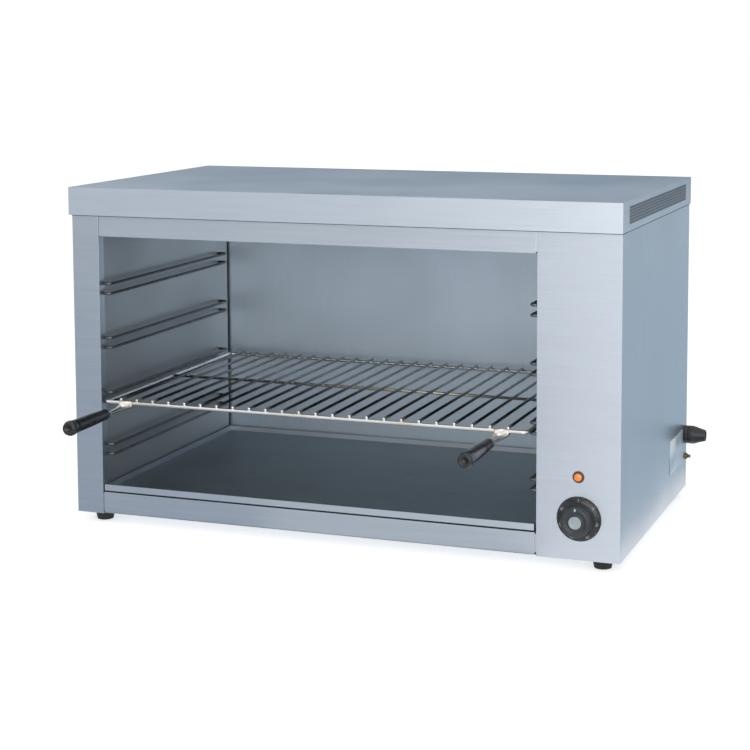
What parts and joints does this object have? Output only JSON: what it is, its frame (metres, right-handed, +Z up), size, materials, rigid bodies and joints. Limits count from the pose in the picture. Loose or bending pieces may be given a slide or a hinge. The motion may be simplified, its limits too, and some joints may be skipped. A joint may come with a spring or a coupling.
{
  "type": "cheese melter",
  "caption": "Countertop electric cheese melter: open-fronted grill box in stainless sheet with a sliding wire rack, crumb tray, dial thermostat, indicator and cable gland.",
  "frame": {"origin": "bottom centre of the whole object's bounding box, on the plane the feet stand on", "axes": "+X to the right seen from the front, +Y to the back, +Z up; the open front faces -Y"},
  "size_m": [0.8306, 0.6134, 0.483],
  "materials": {
    "cover_steel": "brushed",
    "vent_steel": "perforated satin",
    "side_steel": "brushed",
    "front_steel": "brushed",
    "plain_sheet": "satin",
    "cavity_steel": "brushed",
    "runner_steel": "satin",
    "tray_steel": "dull",
    "rack_rod": "polished",
    "grip_black": "satin",
    "element_tube": "oxidised",
    "element_sheet": "satin",
    "bead_white": "matte",
    "pin_brass": "plain",
    "thermostat_black": "matte",
    "capillary_metal": "plain",
    "dial_black": "satin",
    "knob_black": "satin",
    "shaft_steel": "turned",
    "lamp_ring": "glossy",
    "lamp_orange": "glossy",
    "lamp_white": "matte",
    "terminal_cream": "matte",
    "lead_sleeve": "matte",
    "gland_black": "satin",
    "seal_black": "matte",
    "stud_metal": "aged",
    "plate_blank": "matte",
    "foot_rubber": "matte",
    "fastener_steel": "plain"
  },
  "bodies": {
    "cabinet": {"top_cover": "cover_steel", "vent_grille": "vent_steel", "left_side_panel": "side_steel", "right_side_panel": "side_steel", "control_panel": "front_steel", "upper_front_rail": "front_steel", "lower_front_rail": "front_steel", "rear_panel": "plain_sheet", "base_panel": "plain_sheet", "inner_left_wall": "cavity_steel", "inner_right_wall": "cavity_steel", "inner_back_wall": "cavity_steel", "reflector": "cavity_steel", "left_runner_1": "runner_steel", "left_runner_2": "runner_steel", "left_runner_3": "runner_steel", "left_runner_4": "runner_steel", "right_runner_1": "runner_steel", "right_runner_2": "runner_steel", "right_runner_3": "runner_steel", "right_runner_4": "runner_steel", "left_tray_guide": "runner_steel", "right_tray_guide": "runner_steel", "heating_element_1": "element_tube", "heating_element_2": "element_tube", "heating_element_3": "element_tube", "element_plates": "element_sheet", "element_brackets": "element_sheet", "element_insulators": "bead_white", "element_pins": "pin_brass", "thermostat": "thermostat_black", "capillary_bulb": "capillary_metal", "dial_bezel": "dial_black", "lamp_bezel": "lamp_ring", "lamp_lens": "lamp_orange", "lamp_body": "lamp_white", "terminal_block": "terminal_cream", "internal_leads": "lead_sleeve", "gland_body": "gland_black", "gland_locknut": "gland_black", "gland_nut": "gland_black", "gland_seal": "seal_black", "bonding_terminal": "stud_metal", "rating_plate": "plate_blank", "front_left_foot": "foot_rubber", "front_right_foot": "foot_rubber", "rear_left_foot": "foot_rubber", "rear_right_foot": "foot_rubber", "foot_fasteners": "fastener_steel", "panel_screws": "fastener_steel"},
    "rack": {"rack_frame": "rack_rod", "rack_cross_bar": "rack_rod", "rack_wires": "rack_rod", "left_handle_wires": "rack_rod", "right_handle_wires": "rack_rod", "left_grip": "grip_black", "right_grip": "grip_black"},
    "tray": {"crumb_tray": "tray_steel"},
    "knob": {"control_knob": "knob_black", "knob_shaft": "shaft_steel"}
  },
  "joints": [
    {"name": "rack_slide", "type": "slide", "parent": "cabinet", "child": "rack", "axis": [0, -1, 0], "range_m": [0, 0.25]},
    {"name": "tray_slide", "type": "slide", "parent": "cabinet", "child": "tray", "axis": [0, -1, 0], "range_m": [0, 0.35]},
    {"name": "knob_turn", "type": "hinge", "parent": "cabinet", "child": "knob", "pos_m": [0.32825, -0.14, 0.068], "axis": [0, 1, 0], "range_deg": [0, 300]}
  ]
}
